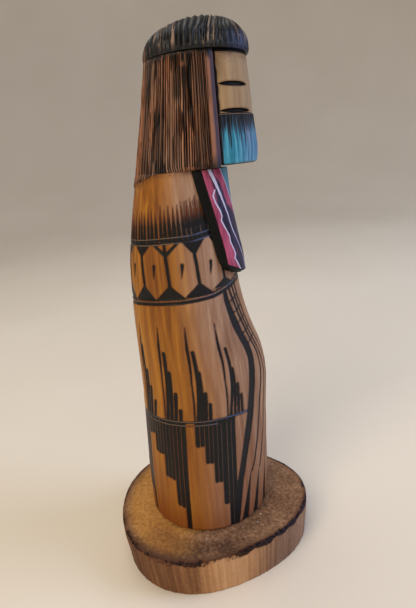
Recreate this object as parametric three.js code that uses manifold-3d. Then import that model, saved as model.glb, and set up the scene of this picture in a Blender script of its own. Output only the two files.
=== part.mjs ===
// A carved and wood-burned maiden figure that stands on a round slice of log.
// Millimetres, +Z up, the figure faces -Y, +X is the figure's own left.
// The origin is the middle of the slab's underside.
import * as THREE from 'three';
import { mergeVertices } from 'three/addons/utils/BufferGeometryUtils.js';
import Module from 'manifold-3d';

const wasm = await Module();
wasm.setup();

// ---- driving dimensions, millimetres ----
const TOTAL_HEIGHT = 249.2;
const GAP = 0.3;                    // clearance between touching pieces
const FIGURE_X = 3;                 // the figure stands a little to the left of the slab's middle

const SLAB_THICKNESS = 20.2;
const SLAB_RADIUS = 47.8;
const SLAB_BEVEL = 0.5;

const ROBE_BOTTOM = SLAB_THICKNESS + GAP;
const HAIR_BOTTOM = 189.5;
const ROBE_TOP = HAIR_BOTTOM - GAP;
const BEARD_BOTTOM = 190;
const BEARD_TOP = 209.8;
const CAP_BOTTOM = 233.8;
const CAP_SHOULDER = 236.5;         // where the dome starts to curve inwards
const HEAD_TOP = CAP_BOTTOM - GAP;
const CAP_HALF_WIDTH = 24;
const CAP_HALF_DEPTH = 22.2;
const CAP_MIDDLE = 12.2;            // forward distance of the cap's middle
const CAP_LEAN = 3;                 // how far the crown lies in front of that

const HEAD_AXIS = 11.7;             // forward distance of the face's own axis
const FACE_PLANE = 18;              // the hair block ends here, and the face starts

const LAPEL_BOTTOM = 141.5;
const LAPEL_CORNER = 13.5;          // height of the rounded outer corner
const COLLAR_TIP = 164;             // bottom of the V between the lapels
const LAPEL_PART = 0.9;             // half of the parting below the V, degrees

const SCREW = { shank: 2.25, head: 4.2, headZ: 1, neckZ: 3.9, taperZ: 40, tipZ: 46 };
const DOWEL = { radius: 5, bottomZ: 168, topZ: 208 };

// Cross-sections are ellipses: [height, forward reach, backward reach, half width].
const ROBE_SECTIONS = [
  [20, 28.7, 32.4, 31.3],
  [45, 30.3, 32.0, 30.6],
  [75, 31.7, 30.5, 29.3],
  [92, 32.6, 29.6, 28.2],
  [103, 31.3, 29.4, 27.2],
  [116, 26.9, 29.2, 26.0],
  [127, 24.2, 29.0, 25.0],
  [138, 22.6, 28.4, 24.2],
  [150, 22.2, 27.6, 23.9],
  [165, 20.2, 25.0, 23.4],
  [178, 19.6, 22.3, 22.6],
  [190, 19.3, 19.6, 21.4],
];
const HAIR_SECTIONS = [
  [189, 34.8, 20.0, 25.0],
  [205, 34.6, 16.4, 24.4],
  [220, 34.3, 13.2, 23.7],
  [236, 34.0, 10.2, 23.0],
];
// Edges of a lapel, in degrees from the front: [height, inner edge, face edge, foot of the bevel].
const LAPEL_EDGES = [
  [141, LAPEL_PART, 45.0, 53.0],
  [155, LAPEL_PART, 45.5, 53.0],
  [165, 4.0, 48.0, 56.0],
  [177, 20.0, 55.0, 65.0],
  [189, 36.0, 63.5, 74.0],
];
// How far a lapel stands out of the robe: [height, thickness].
const LAPEL_THICKNESS = [
  [141, 4.0],
  [165, 3.2],
  [189, 2.6],
];

// ---- small helpers ----
const radians = THREE.MathUtils.degToRad;

// Smooth interpolation through rows whose first entry is the height.
function valueAt(rows, height, column) {
  const last = rows.length - 1;
  const z = THREE.MathUtils.clamp(height, rows[0][0], rows[last][0]);
  let i = 0;
  while (i < last - 1 && z > rows[i + 1][0]) i += 1;
  const slope = (a, b) => (rows[b][column] - rows[a][column]) / (rows[b][0] - rows[a][0]);
  const span = rows[i + 1][0] - rows[i][0];
  const t = (z - rows[i][0]) / span;
  const m0 = slope(Math.max(i - 1, 0), i + 1) * span;
  const m1 = slope(i, Math.min(i + 2, last)) * span;
  const a = rows[i][column];
  const b = rows[i + 1][column];
  return a + t * (m0 + t * (3 * (b - a) - 2 * m0 - m1 + t * (2 * (a - b) + m0 + m1)));
}

// Middle, half depth and half width of the ellipse at one height.
function sectionAt(sections, height) {
  const front = valueAt(sections, height, 1);
  const back = valueAt(sections, height, 2);
  return { middle: (front - back) / 2, depth: (front + back) / 2, width: valueAt(sections, height, 3) };
}

// A point on the ellipse, angle in degrees from the front towards the figure's left.
function surfacePoint(sections, angle, height, proud) {
  const { middle, depth, width } = sectionAt(sections, height);
  const side = Math.sin(radians(angle));
  const forward = Math.cos(radians(angle));
  return new THREE.Vector3((width + proud) * side, -(middle + (depth + proud) * forward), height);
}

// Moves every vertex of a geometry by a rule and joins the vertices that meet.
function reshape(geometry, rule) {
  const position = geometry.getAttribute('position');
  for (let i = 0; i < position.count; i += 1) {
    const moved = rule(new THREE.Vector3().fromBufferAttribute(position, i));
    position.setXYZ(i, moved.x, moved.y, moved.z);
  }
  return closed(geometry);
}

function closed(geometry) {
  geometry.deleteAttribute('normal');
  geometry.deleteAttribute('uv');
  const merged = mergeVertices(geometry, 1e-4);
  merged.computeVertexNormals();
  return merged;
}

function toSolid(geometry) {
  const merged = closed(geometry.clone());
  const mesh = new wasm.Mesh({
    numProp: 3,
    vertProperties: new Float32Array(merged.getAttribute('position').array),
    triVerts: new Uint32Array(merged.getIndex().array),
  });
  return new wasm.Manifold(mesh);
}

function toGeometry(solid) {
  const mesh = solid.getMesh();
  const geometry = new THREE.BufferGeometry();
  geometry.setAttribute('position', new THREE.BufferAttribute(new Float32Array(mesh.vertProperties), 3));
  geometry.setIndex(new THREE.BufferAttribute(new Uint32Array(mesh.triVerts), 1));
  geometry.computeVertexNormals();
  return geometry;
}

const subtract = (geometry, ...tools) => toGeometry(
  tools.reduce((solid, tool) => solid.subtract(toSolid(tool)), toSolid(geometry)));

const intersect = (geometry, tool) => toGeometry(toSolid(geometry).intersect(toSolid(tool)));

// A solid of revolution about a vertical line, from [radius, height] pairs, bottom to top.
function turned(profile, segments, y = 0) {
  const points = profile.map(([radius, height]) => new THREE.Vector2(radius, height));
  const geometry = new THREE.LatheGeometry(points, segments);
  geometry.rotateX(Math.PI / 2);
  geometry.translate(0, y, 0);
  return geometry;
}

// A tube of ellipses that follows a table of sections between two heights.
function lofted(sections, bottom, top, around, rings) {
  return reshape(new THREE.CylinderGeometry(1, 1, 1, around, rings), (unit) => {
    const height = THREE.MathUtils.lerp(bottom, top, unit.y + 0.5);
    const { middle, depth, width } = sectionAt(sections, height);
    return new THREE.Vector3(width * unit.x, -(middle + depth * unit.z), height);
  });
}

function block(minimum, maximum) {
  const size = new THREE.Vector3().subVectors(maximum, minimum);
  const geometry = new THREE.BoxGeometry(size.x, size.y, size.z);
  geometry.translate(minimum.x + size.x / 2, minimum.y + size.y / 2, minimum.z + size.z / 2);
  return geometry;
}

// Everything in front of a forward distance, between two heights.
function frontBlock(forward, bottom, top) {
  return block(new THREE.Vector3(-40, -60, bottom), new THREE.Vector3(40, -forward, top));
}

function wood(color, roughness) {
  return new THREE.MeshStandardMaterial({ color, roughness, metalness: 0 });
}

function part(name, geometry, material) {
  const mesh = new THREE.Mesh(geometry, material);
  mesh.name = name;
  return mesh;
}

// ---- the slab: a slightly three-cornered slice of log ----
function slabGeometry() {
  const outline = [];
  const count = 72;
  for (let i = 0; i < count; i += 1) {
    const a = (2 * Math.PI * i) / count;
    const waves = 0.032 * Math.cos(2 * a) + 0.005 * Math.sin(2 * a) + 0.047 * Math.cos(3 * a);
    const radius = SLAB_RADIUS * (1 + waves);
    outline.push(new THREE.Vector2(-radius * Math.sin(a), -radius * Math.cos(a)));
  }
  const bounds = new THREE.Box2().setFromPoints(outline);
  const middle = bounds.getCenter(new THREE.Vector2());
  outline.forEach((point) => point.sub(middle));
  const slab = new THREE.ExtrudeGeometry(new THREE.Shape(outline), {
    depth: SLAB_THICKNESS - 2 * SLAB_BEVEL,
    bevelThickness: SLAB_BEVEL,
    bevelSize: SLAB_BEVEL,
    bevelOffset: -SLAB_BEVEL,
    bevelSegments: 1,
  });
  slab.translate(0, 0, SLAB_BEVEL);
  const hole = screwHole();
  hole.translate(FIGURE_X, 0, 0);
  return subtract(slab, hole);
}

// The clearance hole for the screw, countersunk from below.
function screwHole() {
  const clear = 0.35;
  const hole = turned([
    [0, -1],
    [SCREW.head + clear, -1],
    [SCREW.head + clear, SCREW.headZ + clear],
    [SCREW.shank + clear, SCREW.neckZ + clear],
    [SCREW.shank + clear, SCREW.tipZ + 0.6],
    [0, SCREW.tipZ + 0.6],
  ], 20);
  return hole;
}

function screwGeometry() {
  const screw = turned([
    [0, SCREW.headZ],
    [SCREW.head, SCREW.headZ],
    [SCREW.shank, SCREW.neckZ],
    [SCREW.shank, SCREW.taperZ],
    [0, SCREW.tipZ],
  ], 20);
  const slot = block(new THREE.Vector3(-2.2, -0.5, 0), new THREE.Vector3(2.2, 0.5, 2.2));
  const crossSlot = block(new THREE.Vector3(-0.5, -2.2, 0), new THREE.Vector3(0.5, 2.2, 2.2));
  return subtract(screw, slot, crossSlot);
}

// ---- the robed body: skirt with a bulging front, and shoulders ----
function robeGeometry() {
  const body = lofted(ROBE_SECTIONS, ROBE_BOTTOM, ROBE_TOP, 48, 22);
  return subtract(body, screwHole(), dowelHole());
}

function dowelHole() {
  const radius = DOWEL.radius + GAP;
  return turned([
    [0, DOWEL.bottomZ - GAP],
    [radius, DOWEL.bottomZ - GAP],
    [radius, DOWEL.topZ + GAP],
    [0, DOWEL.topZ + GAP],
  ], 20);
}

function dowelGeometry() {
  const chamfer = 0.8;
  return closed(turned([
    [0, DOWEL.bottomZ],
    [DOWEL.radius - chamfer, DOWEL.bottomZ],
    [DOWEL.radius, DOWEL.bottomZ + chamfer],
    [DOWEL.radius, DOWEL.topZ - chamfer],
    [DOWEL.radius - chamfer, DOWEL.topZ],
    [0, DOWEL.topZ],
  ], 20));
}

// ---- the collar: two raised lapels and the painted chest between them ----
// A curved plate over the robe; the rule gives angle, height and thickness for a unit box.
function wrappedPlate(columns, rows, rule) {
  return reshape(new THREE.BoxGeometry(1, 1, 1, columns, rows, 1), (unit) => {
    const { angle, height, thickness } = rule(unit.x + 0.5, unit.y + 0.5);
    const proud = unit.z > 0 ? thickness : GAP;
    return surfacePoint(ROBE_SECTIONS, angle, height, proud);
  });
}

function leftLapel() {
  const faceShare = 0.75;           // the rest of the width is the outer bevel
  const rim = 0.7;                  // thickness left at the foot of the bevel
  const rows = 14;
  return wrappedPlate(8, rows, (across, up) => {
    const corner = LAPEL_CORNER * (1 - Math.sqrt(1 - across * across));
    const height = THREE.MathUtils.lerp(LAPEL_BOTTOM + corner, ROBE_TOP - GAP, up);
    const inner = valueAt(LAPEL_EDGES, height, 1);
    const edge = valueAt(LAPEL_EDGES, height, 2);
    const foot = valueAt(LAPEL_EDGES, height, 3);
    const onFace = across <= faceShare;
    const angle = onFace
      ? THREE.MathUtils.lerp(inner, edge, across / faceShare)
      : THREE.MathUtils.lerp(edge, foot, (across - faceShare) / (1 - faceShare));
    const full = valueAt(LAPEL_THICKNESS, height, 1);
    const bevel = onFace ? 1 : (1 - across) / (1 - faceShare);
    const lowest = up < 0.5 / rows ? 0.4 : 1;
    return { angle, height, thickness: rim + (full - rim) * bevel * lowest };
  });
}

function mirrored(geometry) {
  const copy = geometry.clone();
  copy.scale(-1, 1, 1);
  const index = copy.getIndex();
  for (let i = 0; i < index.count; i += 3) {
    const second = index.getX(i + 1);
    index.setX(i + 1, index.getX(i + 2));
    index.setX(i + 2, second);
  }
  copy.computeVertexNormals();
  return copy;
}

function chestGeometry() {
  const margin = 1.1;               // degrees left clear at each lapel
  const tip = COLLAR_TIP - 2;
  return wrappedPlate(12, 8, (across, up) => {
    const height = THREE.MathUtils.lerp(tip, ROBE_TOP - GAP, up);
    const reach = valueAt(LAPEL_EDGES, height, 1) - margin;
    const thickness = valueAt(LAPEL_THICKNESS, height, 1) - 0.6;
    return { angle: reach * (2 * across - 1), height, thickness };
  });
}

// ---- the head: hair block, hair cap, face and beard ----
function hairFallGeometry() {
  const hair = lofted(HAIR_SECTIONS, HAIR_BOTTOM, HEAD_TOP, 48, 8);
  return subtract(hair, frontBlock(FACE_PLANE, 180, 240), dowelHole());
}

function hairCapGeometry() {
  const arcSteps = 7;
  const profile = [[0, CAP_BOTTOM], [1, CAP_BOTTOM]];
  for (let i = 0; i <= arcSteps; i += 1) {
    const a = (Math.PI / 2) * (i / arcSteps);
    profile.push([i === arcSteps ? 0 : Math.cos(a), CAP_SHOULDER + (TOTAL_HEIGHT - CAP_SHOULDER) * Math.sin(a)]);
  }
  return reshape(turned(profile, 44), (unit) => {
    const rise = Math.max(unit.z - CAP_SHOULDER, 0) / (TOTAL_HEIGHT - CAP_SHOULDER);
    const middle = CAP_MIDDLE + CAP_LEAN * rise * rise;
    return new THREE.Vector3(CAP_HALF_WIDTH * unit.x, CAP_HALF_DEPTH * unit.y - middle, unit.z);
  });
}

function lensCutter(angle, height, radius, size) {
  const lens = new THREE.SphereGeometry(1, 12, 6);
  lens.scale(size.x, size.y, size.z);
  lens.rotateZ(radians(angle));
  lens.translate(radius * Math.sin(radians(angle)), -HEAD_AXIS - radius * Math.cos(radians(angle)), height);
  return lens;
}

function faceGeometry() {
  const bottom = BEARD_TOP + GAP;
  const face = turned([[0, bottom], [22.5, bottom], [22.3, 218], [21.3, HEAD_TOP], [0, HEAD_TOP]], 56, -HEAD_AXIS);
  const eye = new THREE.Vector3(9, 1.1, 0.9);
  const mouth = new THREE.Vector3(10, 1.1, 0.8);
  return subtract(
    intersect(face, frontBlock(FACE_PLANE + GAP, bottom - 1, HEAD_TOP + 1)),
    lensCutter(49, 221.5, 22.2, eye),
    lensCutter(-49, 221.5, 22.2, eye),
    lensCutter(40, 212, 22.5, mouth),
    lensCutter(-40, 212, 22.5, mouth));
}

function beardGeometry() {
  const beard = turned([
    [0, BEARD_BOTTOM],
    [22.2, BEARD_BOTTOM],
    [23.1, BEARD_BOTTOM + 0.7],
    [23.4, BEARD_BOTTOM + 2.2],
    [22.9, BEARD_TOP],
    [0, BEARD_TOP],
  ], 56, -HEAD_AXIS);
  return intersect(beard, frontBlock(FACE_PLANE + GAP, BEARD_BOTTOM - 1, BEARD_TOP + 1));
}

// ---- materials and assembly ----
const goldenWood = wood('#b8813a', 0.5);
const faceWood = wood('#b08d5c', 0.6);
const slabWood = wood('#8f7050', 0.85);
const hiddenWood = wood('#c9a878', 0.7);
const burnedHair = wood('#3a2219', 0.65);
const burnedCap = wood('#1d1a1c', 0.6);
const turquoisePaint = wood('#4f94ab', 0.55);
const collarPaint = wood('#7a3a5c', 0.55);
const steel = new THREE.MeshStandardMaterial({ color: '#a8aaad', roughness: 0.35, metalness: 1 });

const lapel = leftLapel();

const figure = new THREE.Group();
figure.position.x = FIGURE_X;
figure.add(
  part('robe_body', robeGeometry(), goldenWood),
  part('chest_panel', chestGeometry(), turquoisePaint),
  part('lapel_left', lapel, collarPaint),
  part('lapel_right', mirrored(lapel), collarPaint),
  part('hair_fall', hairFallGeometry(), burnedHair),
  part('hair_cap', hairCapGeometry(), burnedCap),
  part('face_mask', faceGeometry(), faceWood),
  part('beard_block', beardGeometry(), turquoisePaint),
  part('neck_dowel', dowelGeometry(), hiddenWood),
  part('base_screw', screwGeometry(), steel),
);

const doll = new THREE.Group();
doll.add(part('base_slab', slabGeometry(), slabWood), figure);

export default doll;
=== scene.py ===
"""The looks of a carved and wood-burned maiden figure on a slice of log.

Lengths are millimetres until a mesh is made, and then metres. On the figure, an angle is in
degrees from the front (-Y) towards the figure's right (-X), which is the side the camera sees.
"""

import bpy
import numpy as np
from mathutils import Matrix, Vector


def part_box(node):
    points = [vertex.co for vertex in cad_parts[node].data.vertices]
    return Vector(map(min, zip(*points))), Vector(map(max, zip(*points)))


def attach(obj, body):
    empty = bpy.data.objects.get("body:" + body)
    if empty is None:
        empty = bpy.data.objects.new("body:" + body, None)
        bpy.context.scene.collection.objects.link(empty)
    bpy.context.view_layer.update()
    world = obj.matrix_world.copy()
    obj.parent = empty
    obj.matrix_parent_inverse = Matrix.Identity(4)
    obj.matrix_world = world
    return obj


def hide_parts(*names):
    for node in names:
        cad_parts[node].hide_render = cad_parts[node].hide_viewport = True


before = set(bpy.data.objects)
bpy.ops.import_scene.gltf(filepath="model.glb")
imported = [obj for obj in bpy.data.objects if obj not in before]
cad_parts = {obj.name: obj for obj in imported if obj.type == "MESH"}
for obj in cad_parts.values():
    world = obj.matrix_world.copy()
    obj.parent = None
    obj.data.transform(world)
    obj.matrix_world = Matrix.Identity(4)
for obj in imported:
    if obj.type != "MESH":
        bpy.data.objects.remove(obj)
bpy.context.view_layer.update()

# ---- driving values ----
MM = 0.001
GAP = 0.3                         # clearance between touching pieces
FAR = 2.5                         # burned lines are measured out to this distance
GROOVE = 0.35                     # depth of a burned line
SCREW_BORE = 2.6                  # radius of the hole for the screw
SCREW_RECESS = 4.55               # radius of the countersink at the slab's underside
COUNTERSINK_TOP = 4.25            # height at which the countersink ends
AXIS_CLEARANCE = 8                # corners nearer the axis than this belong to a bore

SKIRT_TURN = 28.6                 # degrees from one set of bars on the skirt to the next
STAIR_TURN = 45.0                 # degrees from one stepped group below the knee ring to the next
CELLS = 12                        # in the band round the chest
OUTLINED_CELL = 3                 # this one is outlined and not filled
OUTLINED_TURN = 105.9             # the angle of its middle
SPIKES = 69

HAIR_STRANDS = 54                 # on each side, from the back to the front edge
CAP_PITCH = 2.3                   # width of a strand on the cap
CAP_PARTING = (-2.0, 20.0)        # where the parting starts and ends, forward distance
CAP_FAN = 14.0                    # how wide the strands fan out at the parting's ends
CAP_LEAN = 3                      # how far the crown lies in front of the cap's middle

ROBE_COLUMNS = 368                # columns of points round the robe
ROUND_COLUMNS = 460               # round the cap and the slab
MASK_COLUMNS = 300                # across the round front of the face and the beard
HAIR_COLUMNS = 248                # on each side of the hair
HAIR_FLAT_COLUMNS = 16            # across the hair's flat front
HAIR_SHOULDER_ROWS = 14           # rows of points from the hair over the shoulder

# Edges of a lapel in degrees: [height, inner edge, face edge, foot of the bevel].
LAPEL_EDGES = [
    [141, 0.9, 45.0, 53.0],
    [155, 0.9, 45.5, 53.0],
    [165, 4.0, 48.0, 56.0],
    [177, 20.0, 55.0, 65.0],
    [189, 36.0, 63.5, 74.0],
]
LAPEL_THICKNESS = [[141, 4.0], [165, 3.2], [189, 2.6]]
LAPEL_FACE_SHARE = 0.75           # share of the width that is face, and the rest is bevel
LAPEL_CORNER = 13.5               # height of the rounded outer corner
LAPEL_RIM = 0.7                   # thickness left at the foot of the bevel
LAPEL_DEGREE = np.radians(26.0)   # millimetres along a lapel for each degree
FACE_DEGREE = np.radians(22.0)    # millimetres along the face and the beard for each degree

CAMERA_PLACE = (-0.229178, -0.006828, 0.195207)    # metres
CAMERA_PITCH = np.radians(16.6507)
CAMERA_ROLL = np.radians(5.64225)
CAMERA_LENS = 29.60526            # focal length for a sensor 36 wide


# ---- small helpers ----
def step(low, high, value):
    """0 below low and 1 above high, smooth between them. Low may be the larger of the two."""
    t = np.clip((value - low) / (high - low), 0, 1)
    return t * t * (3 - 2 * t)


def by_table(value, table):
    """What a table of pairs says for a value: straight lines from pair to pair."""
    return np.interp(value, *np.array(table, float).T)


def smooth_rows(rows, height, column):
    """Smooth interpolation of one column through rows whose first entry is the height."""
    rows = np.asarray(rows, float)
    z, value = rows[:, 0], rows[:, column]
    slope = np.gradient(value, z)
    height = np.clip(height, z[0], z[-1])
    i = np.clip(np.searchsorted(z, height) - 1, 0, len(z) - 2)
    span = z[i + 1] - z[i]
    t = (height - z[i]) / span
    rise = value[i + 1] - value[i]
    m0, m1 = slope[i] * span, slope[i + 1] * span
    return value[i] + t * (m0 + t * (3 * rise - 2 * m0 - m1 + t * (m0 + m1 - 2 * rise)))


def rough(x, y, seed):
    """Smooth random numbers from -1 to 1 on a grid that repeats after 64 steps."""
    table = np.random.default_rng(seed).uniform(-1, 1, (64, 64))
    x, y = np.broadcast_arrays(x, y)
    left, low = np.floor(x).astype(int), np.floor(y).astype(int)
    u, v = step(0, 1, x - left), step(0, 1, y - low)
    below, above = (table[left % 64, row % 64] * (1 - u) + table[(left + 1) % 64, row % 64] * u
                    for row in (low, low + 1))
    return below * (1 - v) + above * v


def strands(position, count, seed):
    """Uneven strands over a length from 0 to 1: height 0 to 1 across each one, and its random tone."""
    rng = np.random.default_rng(seed)
    edges = np.concatenate([[0], np.cumsum(rng.uniform(0.6, 1.4, count))])
    edges /= edges[-1]
    tones = rng.uniform(0, 1, count)
    index = np.clip(np.searchsorted(edges, position, side="right") - 1, 0, count - 1)
    across = (position - edges[index]) / (edges[index + 1] - edges[index])
    return np.sin(np.pi * np.clip(across, 0, 1)) ** 0.8, tones[index]


def split_strands(position, count, seed, split):
    """Strands that divide into finer ones where split is high, from -1 to 1."""
    broad, tone = strands(position, count, seed)
    fine, fine_tone = strands(position, 2 * count + 7, seed + 2)
    split = step(-0.1, 0.5, split)
    return broad * (1 - split) + fine * split * (0.55 + 0.45 * broad), tone * (1 - split) + fine_tone * split


def strands_of_sides(camera_side, position, count, seed, splits):
    """Split strands that differ on the figure's two sides: their height and their tone."""
    near, far = (split_strands(position, count, seed + k, split) for k, split in enumerate(splits))
    return [np.where(camera_side, *pair) for pair in zip(near, far)]


def to_segment(x, y, run, rise, start_half, end_half):
    """Distance to a tapered line from the origin to (run, rise). Inside the line it is negative."""
    along = np.clip((x * run + y * rise) / (run * run + rise * rise + 1e-9), 0, 1)
    half = start_half + along * (end_half - start_half)
    return np.hypot(x - along * run, y - along * rise) - half


# ---- measuring the CAD frame ----
def corners_of(node):
    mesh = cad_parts[node].data
    flat = np.empty(len(mesh.vertices) * 3)
    mesh.vertices.foreach_get("co", flat)
    return flat.reshape(-1, 3) / MM


def middle_x(node):
    low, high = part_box(node)
    return (low.x + high.x) / 2 / MM


def low_and_high(node):
    low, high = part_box(node)
    return low.z / MM, high.z / MM


def sections_of(node, inner_radius=0.0, flat_forward=None):
    """Each ring of a CAD solid as an ellipse: [height, forward middle, half depth, half width]."""
    points = np.unique((corners_of(node) - [middle_x(node), 0, 0]).round(3), axis=0)
    points[:, 1] *= -1
    keep = np.hypot(points[:, 0], points[:, 1]) > inner_radius
    if flat_forward is not None:
        keep &= abs(points[:, 1] - flat_forward) > 0.05
    points = points[keep]
    fewest = 20                   # a ring has more corners than this, and a carved slit fewer
    rows = []
    for z in np.unique(points[:, 2]):
        x, y = points[points[:, 2] == z, :2].T
        if len(x) < fewest:
            continue
        terms = np.stack([x * x, y * y, y], 1)
        a, b, c = ellipse_through(terms)
        stray = abs(terms @ (a, b, c) - 1)
        if stray.max() > 0.001:   # the middle of a flat end is a corner too, and isn't on the ring
            a, b, c = ellipse_through(np.delete(terms, stray.argmax(), 0))
        size = 1 + c * c / (4 * b)
        rows.append([z, -c / (2 * b), np.sqrt(size / b), np.sqrt(size / a)])
    return np.array(rows)


def ellipse_through(terms):
    return np.linalg.lstsq(terms, np.ones(len(terms)), rcond=None)[0]


def on_ellipse(sections, angle, height, proud=0.0):
    """Points on a table of sections, in the row frame, from angles in degrees and heights."""
    middle, depth, width = (smooth_rows(sections, height, column) for column in (1, 2, 3))
    side, ahead = np.sin(np.radians(angle)), np.cos(np.radians(angle))
    x = FIGURE_X - (width + proud) * side
    y = -(middle + (depth + proud) * ahead)
    return np.stack(np.broadcast_arrays(x, y, height), -1)


FIGURE_X = middle_x("robe_body")
ROBE = sections_of("robe_body", AXIS_CLEARANCE)
DOWEL_LOW, DOWEL_HIGH = low_and_high("neck_dowel")
SOCKET = FIGURE_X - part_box("neck_dowel")[0].x / MM + GAP    # radius of the dowel's holes


# ---- meshes ----
def full_turn(count):
    return np.linspace(-180, 180, count, endpoint=False)


def circle(angles, radius, height):
    x = FIGURE_X - radius * np.sin(np.radians(angles))
    y = -radius * np.cos(np.radians(angles))
    return np.stack([x, y, np.full(len(angles), height)], 1)


def inward_rows(start, end, count):
    """Rows between two loops, without the loops themselves."""
    shares = np.linspace(0, 1, count + 2)[1:-1]
    return [start + (end - start) * share for share in shares]


def normals_of(points):
    """Unit normals of a grid of points that closes on itself; their sense depends on the grid's."""
    along = np.roll(points, -1, 1) - np.roll(points, 1, 1)
    up = np.gradient(points, axis=0)
    normal = np.cross(along, up)
    return normal / np.maximum(np.linalg.norm(normal, axis=-1, keepdims=True), 1e-9)


def grid_faces(rows, columns, first=0, wrap=True):
    """Quads of a grid of vertices numbered row by row."""
    row, column = np.mgrid[0:rows - 1, 0:columns if wrap else columns - 1]
    a = first + row * columns + column
    b = first + row * columns + (column + 1) % columns
    return np.stack([a, b, b + columns, a + columns], -1).reshape(-1, 4)


def volume_of(vertices, faces):
    """Signed volume; it is negative where the faces point inwards."""
    total = 0.0
    for polygon in faces:
        corner = vertices[polygon]
        for k in range(1, polygon.shape[1] - 1):
            total += np.einsum("ij,ij->i", corner[:, 0], np.cross(corner[:, k], corner[:, k + 1])).sum()
    return total / 6


def make_piece(name, node, material, skin):
    vertices, faces, attributes = skin
    if volume_of(vertices, faces) < 0:
        faces = [polygon[:, ::-1] for polygon in faces]
    mesh = bpy.data.meshes.new(name)
    mesh.from_pydata((vertices * MM).tolist(), [], [f for polygon in faces for f in polygon.tolist()])
    mesh.shade_smooth()
    mesh.set_sharp_from_angle(angle=np.radians(55))
    for label, values in attributes.items():
        layer = mesh.attributes.new(label, "FLOAT", "POINT")
        layer.data.foreach_set("value", np.asarray(values, np.float32))
    mesh.materials.append(material)
    piece = bpy.data.objects.new(name, mesh)
    bpy.context.scene.collection.objects.link(piece)
    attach(piece, "root")
    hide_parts(node)


def turned_skin(points, attributes, first_row=0, through_hole=False):
    """A closed skin from rows of points round an axis.

    Each attribute is a grid of values that starts at first_row and is 0 elsewhere. A pair gives the
    grid and another value for elsewhere.
    """
    rows, columns = points.shape[:2]
    vertices = points.reshape(-1, 3)
    faces = [grid_faces(rows, columns)]
    flat = {}
    for label, given in attributes.items():
        grid, rest = given if isinstance(given, tuple) else (given, 0)
        sheet = np.full((rows, columns), float(rest))
        sheet[first_row:first_row + len(grid), :grid.shape[1]] = grid
        flat[label] = sheet.ravel()
    around = np.arange(columns)
    after = (around + 1) % columns
    last = (rows - 1) * columns
    if through_hole:
        faces.append(np.stack([last + around, last + after, after, around], 1))
    else:
        vertices = np.vstack([vertices, points[0].mean(0), points[-1].mean(0)])
        start_pole, end_pole = len(vertices) - 2, len(vertices) - 1
        faces.append(np.stack([after, around, np.full(columns, start_pole)], 1))
        faces.append(np.stack([last + around, last + after, np.full(columns, end_pole)], 1))
        flat = {label: np.append(v, [v[0], v[-1]]) for label, v in flat.items()}
    return vertices, faces, flat


def plate_skin(front, back, attributes):
    """A closed plate from a grid of front points and one of back points."""
    rows, columns = front.shape[:2]
    count = rows * columns
    index = np.arange(count).reshape(rows, columns)
    rim = np.concatenate([index[0, :-1], index[:-1, -1], index[-1, :0:-1], index[:0:-1, 0]])
    after = np.roll(rim, -1)
    faces = [
        grid_faces(rows, columns, 0, wrap=False),
        grid_faces(rows, columns, count, wrap=False)[:, ::-1],
        np.stack([after, rim, rim + count, after + count], 1),
    ]
    vertices = np.vstack([front.reshape(-1, 3), back.reshape(-1, 3)])
    return vertices, faces, {label: np.tile(grid.ravel(), 2) for label, grid in attributes.items()}


# ---- drawing on a surface that is laid flat ----
class Chart:
    """Distances in millimetres to lines drawn in angle and height. Inside a line they are negative."""

    def __init__(self, angles, heights, radii):
        self.angles = angles
        self.height = heights[:, None]
        self.per_degree = np.radians(radii)[:, None]
        self.distance = np.full((len(heights), len(angles)), FAR)

    def seen_from(self, start, end, middle):
        """x and y of the whole chart from the start of a line near the middle angle, its run and rise."""
        turn = (self.angles - middle + 180) % 360 - 180
        x = (turn + middle - start[0]) * self.per_degree
        return x, self.height - start[1], (end[0] - start[0]) * self.per_degree, end[1] - start[1]

    def stroke(self, points, halves):
        """A line through points, with the half width at each of them or one for all."""
        halves = np.broadcast_to(halves, len(points))
        for k, (start, end) in enumerate(zip(points, points[1:])):
            near = to_segment(*self.seen_from(start, end, start[0]), halves[k], halves[k + 1])
            self.distance = np.minimum(self.distance, near)

    def fill(self, corners):
        """A filled outline that bulges everywhere; its corners run towards rising angle first."""
        near = -FAR
        for start, end in zip(corners, corners[1:] + corners[:1]):
            x, y, run, rise = self.seen_from(start, end, corners[0][0])
            near = np.maximum(near, (x * rise - y * run) / np.hypot(run, rise))
        self.distance = np.minimum(self.distance, near)


def mirrored(points):
    return [(-angle, height) for angle, height in points]


def height_on(profile, angle):
    """Height of a ring that depends on how far from the front it is, from (angle, height)."""
    return by_table(abs((angle + 180) % 360 - 180), profile)


def ring_points(profile, lift=0.0, start=-180, end=180):
    """Points of a ring, raised by lift, every six degrees or so."""
    turns = np.linspace(start, end, (end - start) // 6 + 1)
    return [(turn, height_on(profile, turn) + lift) for turn in turns]


# ---- the burned drawing on the robe ----
UPPER_RING = [(0, 166), (58, 162.8), (76, 161.8), (105, 161.6), (125, 161.1), (161, 160.2), (180, 160)]
LOWER_RING = [(0, 142), (26, 140.5), (61, 137.1), (91, 136.3), (129, 135.8), (163, 134.4), (180, 134)]
KNEE_RING = [(50, 78.8), (71, 79), (157, 77.7), (180, 77.4)]

# The broad line down each side of the front: [angle, height], then its half width.
BORDER = [(46.2, 136), (46.1, 132), (42.1, 119), (38.8, 110), (39.5, 103.5), (43, 94.5), (45.2, 87),
          (47.1, 77), (51.1, 67.5), (56.5, 54.5), (60.7, 44), (63.4, 32), (66, 20)]
BORDER_HALVES = [1.2, 1.5, 2.3, 2.1, 1.95, 2.0, 2.0, 2.1, 2.0, 1.7, 1.7, 1.5, 1.3]

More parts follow.
